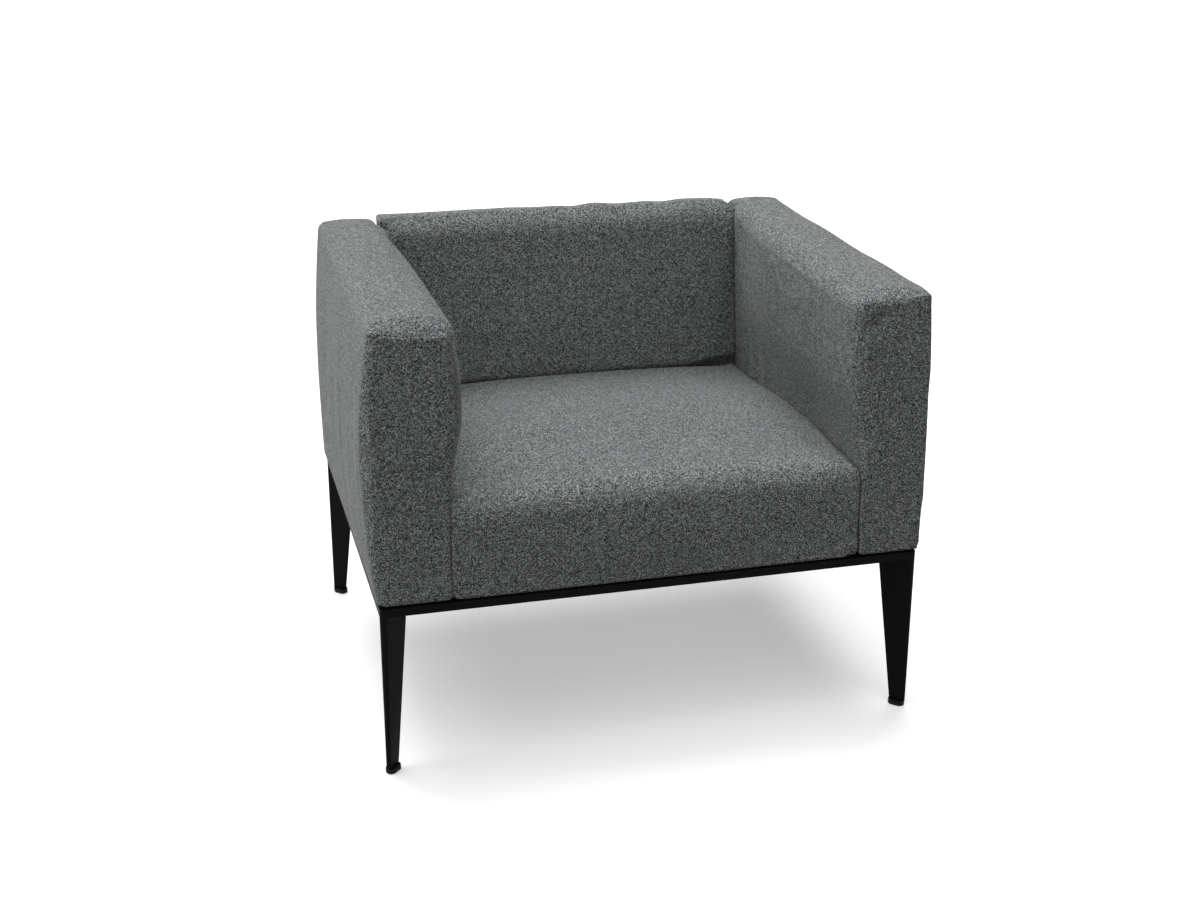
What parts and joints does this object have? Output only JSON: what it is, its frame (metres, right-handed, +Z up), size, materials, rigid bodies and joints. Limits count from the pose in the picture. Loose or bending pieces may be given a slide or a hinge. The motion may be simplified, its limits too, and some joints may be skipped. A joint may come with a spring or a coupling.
{
  "type": "upholstered armchair",
  "caption": "Upholstered lounge armchair: block seat and back between crowned slab arms, in mottled grey fabric, on a black steel frame with tapered blade legs.",
  "frame": {"origin": "on the floor, under the middle of the base frame", "axes": "+Z up, -Y towards the front of the chair, +X to the right as seen from the front"},
  "size_m": [0.79, 0.6294, 0.656],
  "materials": {
    "black_steel": "satin",
    "black_nylon": "satin",
    "zinc_steel": "satin",
    "black_lining": "matte",
    "beech": "matte",
    "hardboard": "matte",
    "elastic_web": "matte",
    "foam": "matte",
    "grey_fabric": "matte"
  },
  "bodies": {
    "root": {"base_rail_front": "black_steel", "base_rail_rear": "black_steel", "base_rail_left": "black_steel", "base_rail_right": "black_steel", "base_cross_rail": "black_steel", "leg_front_left": "black_steel", "leg_front_right": "black_steel", "leg_rear_left": "black_steel", "leg_rear_right": "black_steel", "glide_front_left": "black_nylon", "glide_front_right": "black_nylon", "glide_rear_left": "black_nylon", "glide_rear_right": "black_nylon", "leg_bolts": "zinc_steel", "leg_tee_nuts": "zinc_steel", "base_screws": "zinc_steel", "dust_cover": "black_lining", "seat_frame_front": "beech", "seat_frame_rear": "beech", "seat_frame_left": "beech", "seat_frame_right": "beech", "seat_corner_blocks": "beech", "seat_webbing": "elastic_web", "seat_foam_base": "foam", "seat_foam_top": "foam", "seat_cover": "grey_fabric", "arm_frame_left": "beech", "arm_frame_right": "beech", "arm_panels_left": "hardboard", "arm_panels_right": "hardboard", "arm_foam_left": "foam", "arm_foam_right": "foam", "arm_cover_left": "grey_fabric", "arm_cover_right": "grey_fabric", "back_frame": "beech", "back_panel": "hardboard", "back_webbing": "elastic_web", "back_foam": "foam", "back_cover": "grey_fabric", "arm_bolts": "zinc_steel", "back_bolts": "zinc_steel"}
  },
  "joints": []
}
